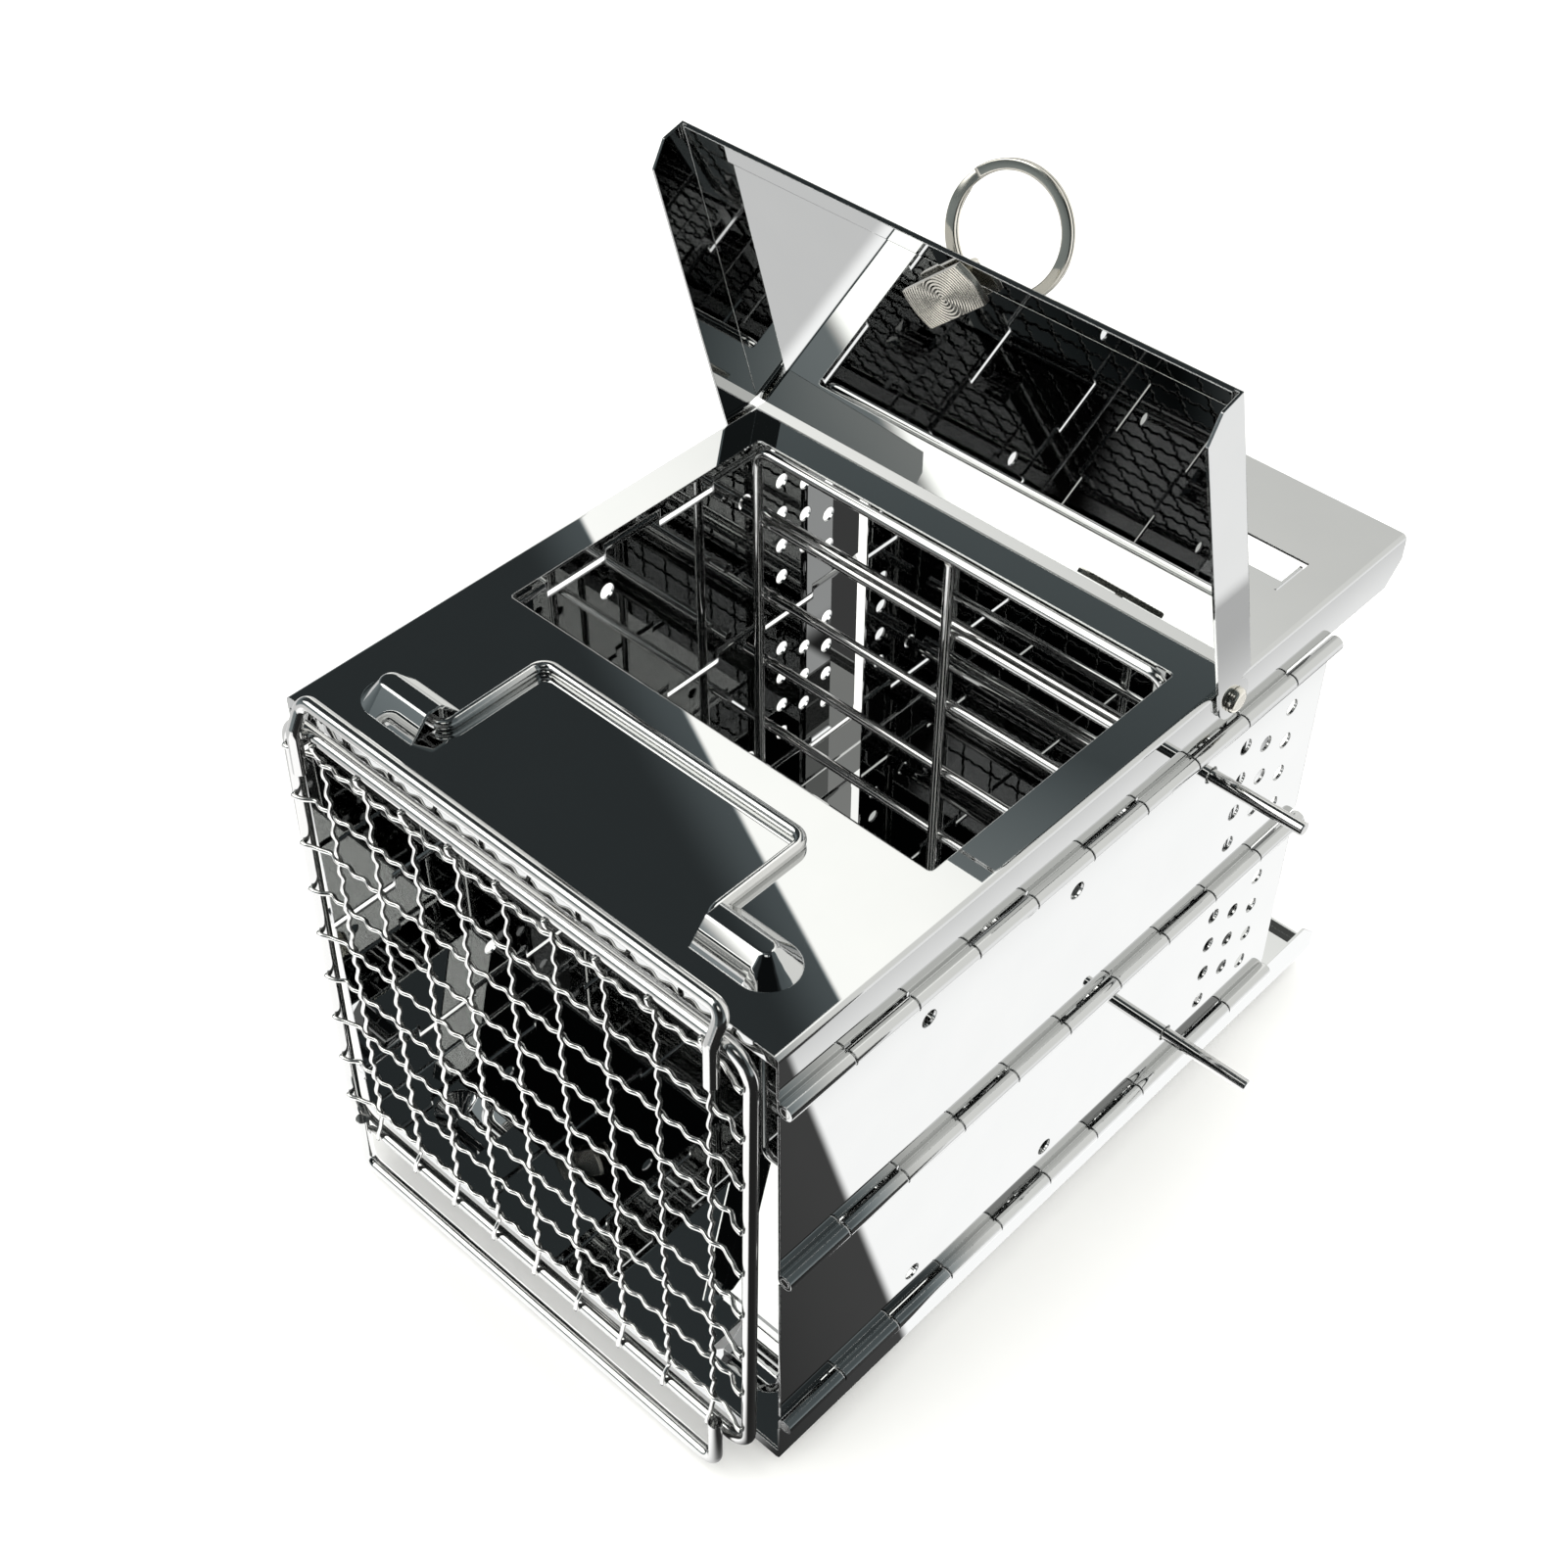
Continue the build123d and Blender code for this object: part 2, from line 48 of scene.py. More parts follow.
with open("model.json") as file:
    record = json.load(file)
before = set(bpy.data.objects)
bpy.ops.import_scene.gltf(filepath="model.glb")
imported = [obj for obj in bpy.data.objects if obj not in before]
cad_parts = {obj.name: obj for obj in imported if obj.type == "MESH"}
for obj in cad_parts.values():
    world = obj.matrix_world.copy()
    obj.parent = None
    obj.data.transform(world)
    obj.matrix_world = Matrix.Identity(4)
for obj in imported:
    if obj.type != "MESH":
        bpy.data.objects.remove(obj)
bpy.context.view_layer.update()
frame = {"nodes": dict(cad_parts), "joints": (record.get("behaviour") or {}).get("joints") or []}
nodes = frame["nodes"]
joints = {joint["name"]: joint for joint in frame["joints"]}
scene = bpy.context.scene


# ---------------------------------------------------------------- node helpers


def new_material(name):
    """An empty node material with its Principled shader and output."""
    material = bpy.data.materials.new(name)
    material.use_nodes = True
    tree = material.node_tree
    shader = tree.nodes["Principled BSDF"]
    return material, tree, shader


def add(tree, kind, **settings):
    """One shader node with its settings."""
    node = tree.nodes.new(kind)
    for key, value in settings.items():
        setattr(node, key, value)
    return node


def math_node(tree, operation, *values):
    """A math node fed by sockets or plain numbers; returns its output socket."""
    node = add(tree, "ShaderNodeMath", operation=operation)
    for i, value in enumerate(values):
        if isinstance(value, (int, float)):
            node.inputs[i].default_value = value
        else:
            tree.links.new(value, node.inputs[i])
    return node.outputs[0]


def product(tree, first, *others):
    """All factors multiplied together; sockets or plain numbers."""
    result = first
    for factor in others:
        result = math_node(tree, "MULTIPLY", result, factor)
    return result


def blend(tree, mask, first, second):
    """first where the mask is 0, second where it is 1; sockets or plain numbers."""
    change = math_node(tree, "SUBTRACT", second, first)
    return math_node(tree, "ADD", first, math_node(tree, "MULTIPLY", mask, change))


def dot_socket(tree, vector, constant):
    """The vector's length along a fixed direction."""
    node = add(tree, "ShaderNodeVectorMath", operation="DOT_PRODUCT")
    tree.links.new(vector, node.inputs[0])
    node.inputs[1].default_value = constant
    return node.outputs["Value"]


def split_axes(tree, vector):
    """The x, y and z sockets of a vector."""
    parts = add(tree, "ShaderNodeSeparateXYZ")
    tree.links.new(vector, parts.inputs[0])
    return parts.outputs


def noise(tree, vector, scale, detail):
    """Noise at a scale in features per metre; returns its factor socket."""
    texture = add(tree, "ShaderNodeTexNoise")
    texture.inputs["Scale"].default_value = scale
    texture.inputs["Detail"].default_value = detail
    tree.links.new(vector, texture.inputs["Vector"])
    return texture.outputs["Fac"]


def ramp(tree, factor, low, high, low_value, high_value):
    """low_value up to low, high_value from high on, and a smooth step between."""
    node = add(tree, "ShaderNodeMapRange", interpolation_type="SMOOTHSTEP")
    settings = (low, high, low_value, high_value)
    for name, value in zip(("From Min", "From Max", "To Min", "To Max"), settings):
        node.inputs[name].default_value = value
    tree.links.new(factor, node.inputs["Value"])
    return node.outputs[0]


def mix_colour(tree, factor, first, second):
    """The first colour where the factor is 0, the second where it is 1."""
    node = add(tree, "ShaderNodeMix", data_type="RGBA")
    node.inputs["A"].default_value = (*first, 1)
    node.inputs["B"].default_value = (*second, 1)
    tree.links.new(factor, node.inputs["Factor"])
    return node.outputs["Result"]


MIRRORED_DEPTH = 0.5
SMEAR_SCALE = 60
GRAIN_SCALE = 900
CLEANEST = 0.6
DULLEST = 1.6


def metal(name, light, dark, roughness, wave, wave_scale, grain, edge, mirror_shade=1.0):
    """Polished metal: slow waviness, fine polishing grain, faint smears and rounded edges.

    wave and grain are heights and edge is a radius. The last argument is painted shade: it darkens
    the metal's colour where it is only seen in another mirror, as shade inside the cage.
    """
    material, tree, shader = new_material(name)
    place = add(tree, "ShaderNodeTexCoord").outputs["Object"]
    smear = noise(tree, place, SMEAR_SCALE, 4)
    slow = noise(tree, place, wave_scale, 1)
    fine = noise(tree, place, GRAIN_SCALE, 3)
    shader.inputs["Metallic"].default_value = 1
    clean = mix_colour(tree, smear, dark, light)
    # Painted shade: seen only in another mirror, the metal takes a flat darker colour, its light colour
    # times the shade factor.
    depth = add(tree, "ShaderNodeLightPath").outputs["Ray Depth"]
    mirrored = math_node(tree, "GREATER_THAN", depth, MIRRORED_DEPTH)
    mirror_shaded_colour = add(tree, "ShaderNodeMix", data_type="RGBA")
    tree.links.new(mirrored, mirror_shaded_colour.inputs["Factor"])
    tree.links.new(clean, mirror_shaded_colour.inputs["A"])
    mirror_shaded_colour.inputs["B"].default_value = (light[0] * mirror_shade, light[1] * mirror_shade, light[2] * mirror_shade, 1)
    tree.links.new(mirror_shaded_colour.outputs["Result"], shader.inputs["Base Color"])
    uneven = ramp(tree, smear, 0.35, 0.75, roughness * CLEANEST, roughness * DULLEST)
    tree.links.new(uneven, shader.inputs["Roughness"])
    rounded = add(tree, "ShaderNodeBevel", samples=4)
    rounded.inputs["Radius"].default_value = edge
    normal = rounded.outputs[0]
    for height, size in ((slow, wave), (fine, grain)):
        bump = add(tree, "ShaderNodeBump")
        bump.inputs["Strength"].default_value = 1
        bump.inputs["Distance"].default_value = size
        tree.links.new(height, bump.inputs["Height"])
        tree.links.new(normal, bump.inputs["Normal"])
        normal = bump.outputs[0]
    tree.links.new(normal, shader.inputs["Normal"])
    return material


def give(material, *pieces):
    """Put one material on every slot of the pieces."""
    for piece in pieces:
        piece.data.materials.clear()
        piece.data.materials.append(material)


# ---------------------------------------------------------------- mesh helpers


def tube(mesh, line, radius, sizes, sides=12):
    """Sweep a round section along a polyline into a bmesh, swollen by sizes, with closed ends."""
    points = [Vector(p) for p in line]
    turns = [2 * math.pi * i / sides for i in range(sides)]
    side = (points[1] - points[0]).orthogonal().normalized()
    rings = []
    for i, point in enumerate(points):
        before = points[max(i - 1, 0)]
        after = points[min(i + 1, len(points) - 1)]
        tangent = (after - before).normalized()
        side = (side - tangent * side.dot(tangent)).normalized()
        up = tangent.cross(side)
        reach = radius * sizes[i]
        spokes = [side * math.cos(turn) + up * math.sin(turn) for turn in turns]
        rings.append([mesh.verts.new(point + spoke * reach) for spoke in spokes])
    join_rings(mesh, rings)


def join_rings(mesh, rings):
    """Faces between neighbouring rings of points, and a cap on each end."""
    count = len(rings[0])
    for first, second in zip(rings, rings[1:]):
        for i in range(count):
            j = (i + 1) % count
            mesh.faces.new((first[i], first[j], second[j], second[i]))
    mesh.faces.new(list(reversed(rings[0])))
    mesh.faces.new(rings[-1])


def finish_mesh(name, mesh, smooth=True):
    """Turn a bmesh into an object in the scene."""
    bmesh.ops.recalc_face_normals(mesh, faces=mesh.faces)
    data = bpy.data.meshes.new(name)
    mesh.to_mesh(data)
    mesh.free()
    if smooth:
        data.polygons.foreach_set("use_smooth", [True] * len(data.polygons))
    piece = bpy.data.objects.new(name, data)
    scene.collection.objects.link(piece)
    return piece


# ---------------------------------------------------------------- woven mesh front

MESH_ROD = 1.5 * MM
MESH_WIRE = 0.5 * MM
MESH_COLUMNS = 9
MESH_ROWS = 9
CRIMP = 0.34 * MM
HALF_WAVES_PER_CELL = 5
SAMPLES_PER_HALF_WAVE = 6
LAP = -0.3 * MM
WELD_LENGTH = 2.2 * MM
WELD_SWELL = 1.3
ABOVE_ROD = MESH_ROD + MESH_WIRE * 0.55
STRAIGHT_END = MESH_ROD * 0.8
CRIMP_RUN_IN = 0.35


def mesh_plane():
    """Origin, axes and half sizes of the leaning mesh front, read from its frame wire."""
    low, high = (Vector(corner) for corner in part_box("mesh_frame"))
    wire = 2 * MESH_ROD
    depth = high.y - low.y - wire
    rise = high.z - low.z - wire
    lean = math.atan2(depth, rise)
    origin = Vector((0, low.y + MESH_ROD, low.z + MESH_ROD))
    up = Vector((0, math.sin(lean), math.cos(lean)))
    out = Vector((0, -math.cos(lean), math.sin(lean)))
    half = (high.x - low.x - wire) / 2
    height = math.hypot(depth, rise)
    return origin, up, out, half, height


def smooth_step(value):
    """0 below 0, 1 above 1, and a smooth rise between."""
    value = max(0.0, min(1.0, value))
    return value * value * (3 - 2 * value)


def crimped_line(first, last, out, cell, lead, sign):
    """A crimped wire whose ends lie on the front of two frame rods, and its swelling.

    cell is the mesh pitch, lead the distance from the first rod's middle to the first
    crossing, and sign says whether the wire passes in front there.
    """
    run = last - first
    length = run.length
    away = run / length
    start = -LAP
    end = length + LAP
    samples = int(length / cell * HALF_WAVES_PER_CELL * SAMPLES_PER_HALF_WAVE)
    points = []
    sizes = []
    for i in range(samples + 1):
        distance = start + (end - start) * i / samples
        phase = math.pi * HALF_WAVES_PER_CELL * (distance - lead) / cell
        wave = CRIMP * math.cos(phase) * sign
        edge = min(distance, length - distance)
        free = smooth_step((edge - STRAIGHT_END) / (cell * CRIMP_RUN_IN))
        height = ABOVE_ROD * (1 - free) + wave * free
        points.append(first + away * distance + out * height)
        weld = 1 - smooth_step((edge + LAP) / WELD_LENGTH)
        sizes.append(1 + (WELD_SWELL - 1) * weld)
    return points, sizes


def woven_mesh(steel):
    """Crimped wires woven over and under each other, welded onto the frame rods."""
    origin, up, out, half, height = mesh_plane()
    across = Vector((1, 0, 0))
    upright_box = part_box("mesh_upright_wires")
    level_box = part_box("mesh_level_wires")
    wire = 2 * MESH_WIRE
    pitch_x = (upright_box[1][0] - upright_box[0][0] - wire) / (MESH_COLUMNS - 1)
    pitch_z = (level_box[1][2] - level_box[0][2] - wire) / (MESH_ROWS - 1) / up.z
    first_row = (level_box[0][2] + MESH_WIRE - origin.z) / up.z
    first_column = half - (MESH_COLUMNS - 1) / 2 * pitch_x
    uprights = bmesh.new()
    for i in range(MESH_COLUMNS):
        foot = origin + across * (first_column - half + i * pitch_x)
        sign = 1 if i % 2 else -1
        line, sizes = crimped_line(foot, foot + up * height, out, pitch_z, first_row, sign)
        tube(uprights, line, MESH_WIRE, sizes)
    levels = bmesh.new()
    for j in range(MESH_ROWS):
        level = origin + up * (first_row + j * pitch_z)
        sign = 1 if j % 2 == 0 else -1
        ends = (level - across * half, level + across * half)
        line, sizes = crimped_line(*ends, out, pitch_x, first_column, sign)
        tube(levels, line, MESH_WIRE, sizes)
    for name, mesh in (("mesh_upright_wires", uprights), ("mesh_level_wires", levels)):
        piece = finish_mesh("woven_" + name, mesh)
        give(steel, piece)
        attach(piece, "mesh_front")
        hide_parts(name)


# ---------------------------------------------------------------- split ring

RING_RADIUS = 12.1 * MM
RING_WIRE_HIGH = 0.97 * MM
RING_WIRE_WIDE = 2.15 * MM
RING_END = math.radians(16)
RING_START = math.radians(185)
RING_CROSSING = math.radians(26)
RING_LAYER = RING_WIRE_HIGH * 0.52
RING_CORNER = 0.3 * MM
RING_STEPS = 220
CORNER_STEPS = 3


def ring_section():
    """Outline of the flat ring wire with rounded corners."""
    wide = RING_WIRE_WIDE / 2 - RING_CORNER
    high = RING_WIRE_HIGH / 2 - RING_CORNER
    outline = []
    for quarter, (sx, sy) in enumerate(((1, 1), (-1, 1), (-1, -1), (1, -1))):
        for step in range(CORNER_STEPS + 1):
            turn = math.pi / 2 * (quarter + step / CORNER_STEPS)
            a = sx * wide + RING_CORNER * math.cos(turn)
            b = sy * high + RING_CORNER * math.sin(turn)
            outline.append((a, b))
    return outline


def split_ring(plated):
    """Two flat turns of wire that cross once, with both cut ends side by side."""
    low, high = (Vector(corner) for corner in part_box("split_ring"))
    centre = (low + high) / 2
    eye = Vector(joints["ring_swing"]["pos_m"])
    up = (centre - eye).normalized()
    axis = Vector(joints["ring_swing"]["axis"]).cross(up).normalized()
    across = up.cross(axis)
    line = []
    sweep = 4 * math.pi - RING_END
    for i in range(RING_STEPS + 1):
        turn = sweep * i / RING_STEPS
        cross = (turn - sweep / 2) / RING_CROSSING
        cross = max(-1.0, min(1.0, cross))
        layer = math.sin(cross * math.pi / 2) * RING_LAYER
        angle = RING_START + turn
        spoke = across * math.cos(angle) + up * math.sin(angle)
        line.append(centre + spoke * RING_RADIUS + axis * layer)
    mesh = bmesh.new()
    ring_band(mesh, line, centre, axis, ring_section())
    piece = finish_mesh("split_ring_turns", mesh)
    give(plated, piece)
    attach(piece, "pull_ring")
    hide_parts("split_ring")


def ring_band(mesh, line, centre, axis, section):
    """Sweep a section along a nearly circular line, keeping its width towards the centre."""
    rings = []
    for point in line:
        spoke = point - centre
        spoke = (spoke - axis * spoke.dot(axis)).normalized()
        rings.append([mesh.verts.new(point + spoke * a + axis * b) for a, b in section])
    join_rings(mesh, rings)


# ---------------------------------------------------------------- turn bar

BAR_RADIUS = 11.4 * MM
BAR_HALF_WIDTH = 4.45 * MM
BAR_THICKNESS = 1.4 * MM
BAR_GAP = 2.0 * MM
BAR_TURN = math.radians(43)
BAR_RIM = 0.35 * MM
GROOVE_PITCH = 0.75 * MM
GROOVE_DEPTH = 0.05 * MM
POINTS_PER_GROOVE = 8
BAR_SIDES = 120


def bar_profile():
    """Radius and depth of the bar's faces, from the middle of the grooved face round to the back."""
    points = []
    steps = int(BAR_RADIUS / GROOVE_PITCH * POINTS_PER_GROOVE)
    for i in range(1, steps + 1):
        radius = (BAR_RADIUS - BAR_RIM) * i / steps
        groove = GROOVE_DEPTH * (1 - math.cos(2 * math.pi * radius / GROOVE_PITCH))
        points.append((radius, groove))
    points.append((BAR_RADIUS, BAR_RIM))
    points.append((BAR_RADIUS, BAR_THICKNESS))
    points.append((BAR_RADIUS / 2, BAR_THICKNESS))
    return points


def grooved_bar(plated):
    """The lid's turn bar, cut from a faced disc whose grooves run round the stem."""
    joint = joints["latch_turn"]
    axis = Vector(joint["axis"]).normalized()
    across = Vector((1, 0, 0))
    along = across * math.cos(BAR_TURN) + across.cross(axis) * math.sin(BAR_TURN)
    side = axis.cross(along)
    face = Vector(joint["pos_m"]) - axis * (BAR_GAP + BAR_THICKNESS)
    mesh = bmesh.new()
    turns = [2 * math.pi * i / BAR_SIDES for i in range(BAR_SIDES)]
    rings = []
    for radius, depth in bar_profile():
        spokes = [along * math.cos(t) + side * math.sin(t) for t in turns]
        rings.append([mesh.verts.new(face + spoke * radius + axis * depth) for spoke in spokes])
    join_rings(mesh, rings)
    for way in (side, -side):
        everything = mesh.verts[:] + mesh.edges[:] + mesh.faces[:]
        edge = face + way * BAR_HALF_WIDTH
        cut = bmesh.ops.bisect_plane(mesh, geom=everything, plane_co=edge, plane_no=way, clear_outer=True)
        edges = [item for item in cut["geom_cut"] if isinstance(item, bmesh.types.BMEdge)]
        bmesh.ops.contextual_create(mesh, geom=edges)
    piece = finish_mesh("grooved_turn_bar", mesh, smooth=False)
    give(plated, piece)
    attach(piece, "latch")
    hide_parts("latch_plate")


# ---------------------------------------------------------------- camera

CAMERA_AZIMUTH = 43.23
CAMERA_ELEVATION = 44.58
CAMERA_DISTANCE = 524.4 * MM
CAMERA_TARGET = (-23.75 * MM, 0.7 * MM, 65 * MM)
CAMERA_LENS = 53.37
SENSOR = 36
NEAR_CLIP = 10 * MM


def place_camera():
    """Camera looking down at the front right corner."""
    azimuth = math.radians(CAMERA_AZIMUTH)
    elevation = math.radians(CAMERA_ELEVATION)
    back = Vector((
        math.sin(azimuth) * math.cos(elevation),
        -math.cos(azimuth) * math.cos(elevation),
        math.sin(elevation),
    ))
    data = bpy.data.cameras.new("camera")
    data.lens = CAMERA_LENS
    data.sensor_width = SENSOR
    data.clip_start = NEAR_CLIP
    camera = bpy.data.objects.new("camera", data)
    camera.location = Vector(CAMERA_TARGET) + back * CAMERA_DISTANCE
    camera.rotation_euler = (-back).to_track_quat("-Z", "Y").to_euler()
    scene.collection.objects.link(camera)
    scene.camera = camera


# ---------------------------------------------------------------- studio room
# The camera and the floor see even white light. The metal sees a dark room with a white
# backdrop, a softbox on the left and small cards. Sky angles are in degrees, and azimuth
# runs from +Y towards +X. A card is its azimuth, elevation, half width and half height.

ROOM_LIGHT = 1.7
SKY_WHITE = 1.5
SKY_DARK = 0.04
SHADE_TINT = (0.80, 0.95, 1.0)
LIGHT_TINT = (1.0, 1.0, 0.97)
HORIZON_GLOW = 0.22
EDGE_GLOW = 0.08
CAMERA_CARD = (135, 25, 34, 40)
CAMERA_CARD_SHADE = 0.15
BACKDROP_EDGE = (-0.403, -0.857, 0.321)
BACKDROP_BLUR = 0.0015
BACKDROP_FADED = SKY_WHITE * 0.55
BACKDROP_RIGHT = 0.95
SOFTBOX = (-160, -116, 22, 68)
SOFTBOX_WHITE = 2.6
SOFTBOX_BLUR = 0.012
HALO_WIDTH = 0.14
HALO_GREY = 0.35
ROD_LIGHT = (145, 59, 8, 6)
LID_LIGHT = (116, 55, 3, 5)
LID_LIGHT_GREY = 0.6


def direction(azimuth, elevation):
    """Unit vector; azimuth is measured from +Y towards +X."""
    a = math.radians(azimuth)
    e = math.radians(elevation)
    return Vector((math.sin(a) * math.cos(e), math.cos(a) * math.cos(e), math.sin(e)))


def card_mask(tree, ray, card, soft):
    """1 where the ray meets a card in the sky; soft is the half width of its edge in degrees."""
    azimuth, elevation, half_width, half_height = card
    normal = direction(azimuth, elevation)
    right = direction(azimuth + 90, 0)
    up = right.cross(normal)
    depth = dot_socket(tree, ray, normal)
    safe = math_node(tree, "MAXIMUM", depth, 0.05)
    mask = math_node(tree, "GREATER_THAN", depth, 0.05)
    blur = math.tan(math.radians(soft))
    for side, half in ((right, half_width), (up, half_height)):
        offset = math_node(tree, "DIVIDE", dot_socket(tree, ray, side), safe)
        offset = math_node(tree, "ABSOLUTE", offset)
        edge = math.tan(math.radians(half))
        mask = product(tree, mask, ramp(tree, offset, edge - blur, edge + blur, 1, 0))
    return mask


def softbox_mask(tree, ray, height, soft):
    """1 where the ray lies inside the softbox's azimuths and elevations; soft widens its edge."""
    left, right, bottom, top = SOFTBOX
    floor = math.sin(math.radians(bottom))
    roof = math.sin(math.radians(top))
    return product(
        tree,
        ramp(tree, dot_socket(tree, ray, direction(left + 90, 0)), -soft, 0, 0, 1),
        ramp(tree, dot_socket(tree, ray, direction(right - 90, 0)), -soft, 0, 0, 1),
        ramp(tree, height, floor - soft, floor, 0, 1),
        ramp(tree, height, roof, roof + soft, 1, 0),
    )


def dark_room(tree, ray, z, from_edge):
    """The dark side: a glow at the horizon and beside the backdrop, darkest behind the camera."""
    horizon = ramp(tree, z, 0, 0.5, HORIZON_GLOW, 0)
    beside = ramp(tree, from_edge, 0, 0.03, EDGE_GLOW, 0)
    level = math_node(tree, "ADD", math_node(tree, "ADD", horizon, beside), SKY_DARK)
    behind_camera = card_mask(tree, ray, CAMERA_CARD, 6)
    return product(tree, level, blend(tree, behind_camera, 1, CAMERA_CARD_SHADE))


def add_backdrop(tree, value, x, y, from_edge):
    """The white backdrop over the dark room; it fades towards the back and is greyer on the right."""
    reach = math_node(tree, "MAXIMUM", ramp(tree, y, 0.43, 0.48, 0, 1), ramp(tree, x, -0.06, 0, 1, 0))
    mask = product(tree, ramp(tree, from_edge, -BACKDROP_BLUR, BACKDROP_BLUR, 1, 0), reach)
    fading = ramp(tree, y, 0.5, 0.72, SKY_WHITE, BACKDROP_FADED)
    level = blend(tree, ramp(tree, x, -0.1, 0.1, 0, 1), fading, BACKDROP_RIGHT)
    return blend(tree, mask, value, level)


def studio_world():
    """Even light for the floor; the metal sees the room, the backdrop, the softbox and two cards."""
    world = bpy.data.worlds.new("studio")
    scene.world = world
    world.use_nodes = True
    tree = world.node_tree
    background = tree.nodes["Background"]
    ray = add(tree, "ShaderNodeTexCoord").outputs["Generated"]
    x, y, z = split_axes(tree, ray)
    from_edge = dot_socket(tree, ray, Vector(BACKDROP_EDGE))
    value = dark_room(tree, ray, z, from_edge)
    value = add_backdrop(tree, value, x, y, from_edge)
    halo = product(tree, softbox_mask(tree, ray, z, HALO_WIDTH), HALO_GREY)
    value = math_node(tree, "MAXIMUM", value, halo)
    value = blend(tree, softbox_mask(tree, ray, z, SOFTBOX_BLUR), value, SOFTBOX_WHITE)
    value = blend(tree, card_mask(tree, ray, ROD_LIGHT, 2), value, SKY_WHITE)
    value = blend(tree, card_mask(tree, ray, LID_LIGHT, 4), value, LID_LIGHT_GREY)
    glossy = add(tree, "ShaderNodeLightPath").outputs["Is Glossy Ray"]
    tree.links.new(blend(tree, glossy, ROOM_LIGHT, value), background.inputs["Strength"])
    bright = blend(tree, glossy, 1, ramp(tree, value, 0.05, 0.8, 0, 1))
    tint = mix_colour(tree, bright, SHADE_TINT, LIGHT_TINT)
    tree.links.new(tint, background.inputs["Color"])


# ---------------------------------------------------------------- floor
# Positions on the floor are in the cage's frame. Only reflections see its pattern: for them the floor
# glows with painted light, painted shade and a painted shadow.

FLOOR_SIZE = 6.0
FLOOR_GAP = 0.2 * MM
# Painted light: how brightly the floor glows where reflections see it.
PAINTED_FLOOR_LIGHT = 1.36
# Painted shade beside the cage, seen only in reflections: greyer right and left levels, brighter again
# further right.
PAINTED_SHADE_RIGHT = 0.6
FLOOR_FAR_RIGHT = 1.15
PAINTED_SHADE_LEFT = 0.8
FLOOR_LIGHT = (0.95, 0.95, 0.945)
FLOOR_SHADE = (0.93, 0.93, 0.925)
# Painted shade on the floor at the front right, seen only in reflections: its edges and its dark levels.
DARK_EDGE_Y = -38 * MM
DARK_EDGE_X = 95 * MM
DARK_EDGE_SLOPE = 0.55
DARK_LEFT_X = 58 * MM
DARK_LEFT_Y = -100 * MM
DARK_LEFT_SLOPE = 0.4
DARK_NEAR = 0.02
DARK_FAR = 0.07
# Painted shadow on the floor right behind the cage, seen only in reflections.
PAINTED_SHADOW_BEHIND = 0.06
BEHIND_SLANT = 0.9


def painted_floor_brightness(tree, x, y):
    """Painted brightness of the floor for reflections: painted shade beside the cage and a painted shadow
    right behind it.
    """
    # Painted shade: the floor's glow is greyer beside the cage.
    level = ramp(tree, x, 118 * MM, 155 * MM, PAINTED_FLOOR_LIGHT, PAINTED_SHADE_RIGHT)
    level = math_node(tree, "MAXIMUM", level, ramp(tree, x, 158 * MM, 168 * MM, 0, FLOOR_FAR_RIGHT))
    left = ramp(tree, x, -168 * MM, -162 * MM, PAINTED_SHADE_LEFT, PAINTED_FLOOR_LIGHT)
    level = math_node(tree, "MINIMUM", level, left)
    slant = math_node(tree, "SUBTRACT", x, product(tree, y, BEHIND_SLANT))
    # Painted shadow: the floor's glow turns dark right behind the cage.
    painted_shadow_behind_cage = product(
        tree,
        ramp(tree, slant, -45 * MM, -35 * MM, 1, 0),
        ramp(tree, x, -95 * MM, -85 * MM, 0, 1),
        ramp(tree, x, 95 * MM, 105 * MM, 1, 0),
        ramp(tree, y, 96 * MM, 100 * MM, 0, 1),
        ramp(tree, y, 300 * MM, 340 * MM, 1, 0),
    )
    return blend(tree, painted_shadow_behind_cage, level, PAINTED_SHADOW_BEHIND)


def add_painted_front_shade(tree, level, x, y):
    """Painted shade on the floor at the front right, between two slanting edges; only reflections see it.
    """
    rise = product(tree, math_node(tree, "SUBTRACT", x, DARK_EDGE_X), DARK_EDGE_SLOPE)
    behind = math_node(tree, "SUBTRACT", math_node(tree, "SUBTRACT", y, DARK_EDGE_Y), rise)
    run = product(tree, math_node(tree, "SUBTRACT", y, DARK_LEFT_Y), -DARK_LEFT_SLOPE)
    right = math_node(tree, "SUBTRACT", math_node(tree, "SUBTRACT", x, DARK_LEFT_X), run)
    mask = product(
        tree,
        ramp(tree, behind, -2 * MM, 1 * MM, 1, 0),
        ramp(tree, right, -15 * MM, 5 * MM, 0, 1),
    )
    dark = ramp(tree, behind, -70 * MM, -2 * MM, DARK_NEAR, DARK_FAR)
    return blend(tree, mask, level, dark)


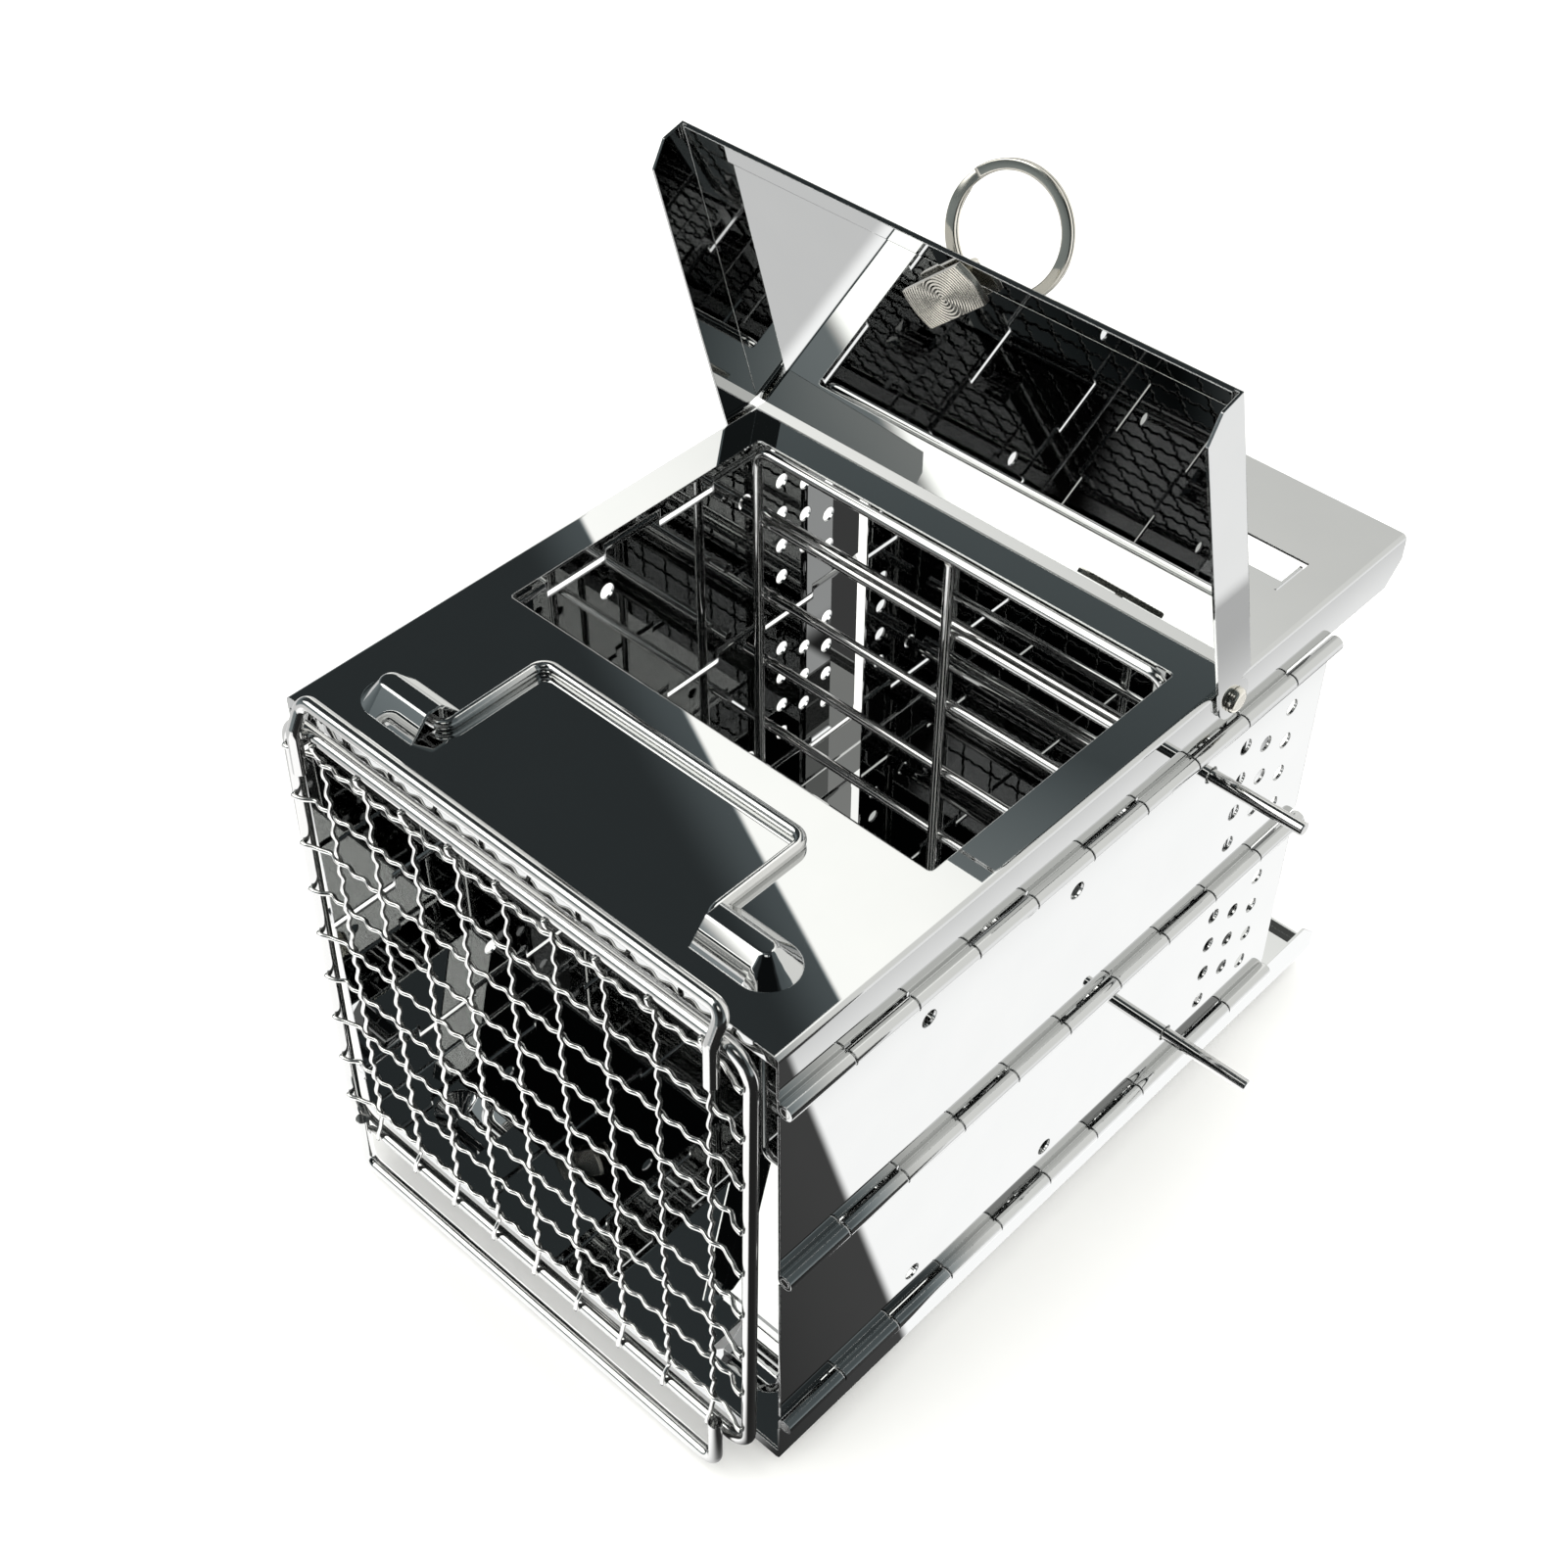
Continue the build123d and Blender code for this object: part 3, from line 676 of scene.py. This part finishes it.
def pale_floor():
    """White floor for the camera; for the metal it glows with painted light, with grey and dark patches
    of painted shade and shadow.
    """
    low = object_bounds()[0]
    mesh = bmesh.new()
    bmesh.ops.create_grid(mesh, x_segments=2, y_segments=2, size=FLOOR_SIZE / 2)
    floor = finish_mesh("floor", mesh)
    floor.location.z = low[2] - FLOOR_GAP
    material, tree, shader = new_material("pale_floor")
    place = add(tree, "ShaderNodeNewGeometry").outputs["Position"]
    x, y, _ = split_axes(tree, place)
    mottle = noise(tree, place, 8, 2)
    tree.links.new(mix_colour(tree, mottle, FLOOR_SHADE, FLOOR_LIGHT), shader.inputs["Base Color"])
    shader.inputs["Roughness"].default_value = 0.9
    shader.inputs["Specular IOR Level"].default_value = 0
    # Painted light: reflections see the floor as a glowing emission, not as a lit floor.
    glow = add(tree, "ShaderNodeEmission")
    seen = add_painted_front_shade(tree, painted_floor_brightness(tree, x, y), x, y)
    tree.links.new(seen, glow.inputs["Strength"])
    mix = add(tree, "ShaderNodeMixShader")
    glossy = add(tree, "ShaderNodeLightPath").outputs["Is Glossy Ray"]
    tree.links.new(glossy, mix.inputs[0])
    tree.links.new(shader.outputs[0], mix.inputs[1])
    tree.links.new(glow.outputs[0], mix.inputs[2])
    tree.links.new(mix.outputs[0], tree.nodes["Material Output"].inputs["Surface"])
    give(material, floor)
    floor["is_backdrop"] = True


# ---------------------------------------------------------------- build

INNER_SHEET_NODES = ("base_tray", "left_upper_panel", "left_lower_panel", "rear_door")
SHEET_NODES = ("top_panel", "right_upper_panel", "right_lower_panel", "lid")
PLATED_NODES = ("lid_rivets", "latch_plate", "ring_eye", "split_ring")

SHEET_FINISH = {
    "roughness": 0.01,
    "wave": 0.03 * MM,
    "wave_scale": 16,
    "grain": 0.00003 * MM,
    "edge": 0.25 * MM,
}

sheet_steel = metal("mirror_steel", (0.66, 0.665, 0.66), (0.62, 0.628, 0.625), **SHEET_FINISH)
# Painted shade: the inner sheets turn darker where they are only seen in another mirror.
inner_steel = metal(
    "inner_mirror_steel", (0.66, 0.668, 0.665), (0.62, 0.63, 0.628), mirror_shade=0.4, **SHEET_FINISH,
)
bright_wire = metal(
    "bright_wire", (0.76, 0.76, 0.75), (0.68, 0.68, 0.67),
    roughness=0.08, wave=0.01 * MM, wave_scale=60, grain=0.001 * MM, edge=0.2 * MM,
)
plated = metal(
    "nickel_plate", (0.86, 0.83, 0.75), (0.70, 0.67, 0.60),
    roughness=0.16, wave=0.01 * MM, wave_scale=80, grain=0.002 * MM, edge=0.2 * MM,
)
# Painted shade: the mesh wires turn darker where they are only seen in another mirror.
mesh_steel = metal(
    "mesh_wire", (0.88, 0.88, 0.86), (0.78, 0.78, 0.76),
    roughness=0.1, wave=0.01 * MM, wave_scale=60, grain=0.001 * MM, edge=0.1 * MM, mirror_shade=0.35,
)
for name, node in nodes.items():
    if name in INNER_SHEET_NODES:
        give(inner_steel, node)
    elif name in SHEET_NODES:
        give(sheet_steel, node)
    elif name in PLATED_NODES:
        give(plated, node)
    else:
        give(bright_wire, node)

woven_mesh(mesh_steel)
split_ring(plated)
grooved_bar(plated)
pale_floor()
studio_world()
place_camera()
scene.view_settings.view_transform = "Standard"
scene.cycles.use_denoising = True
scene.cycles.max_bounces = 16
scene.cycles.glossy_bounces = 12
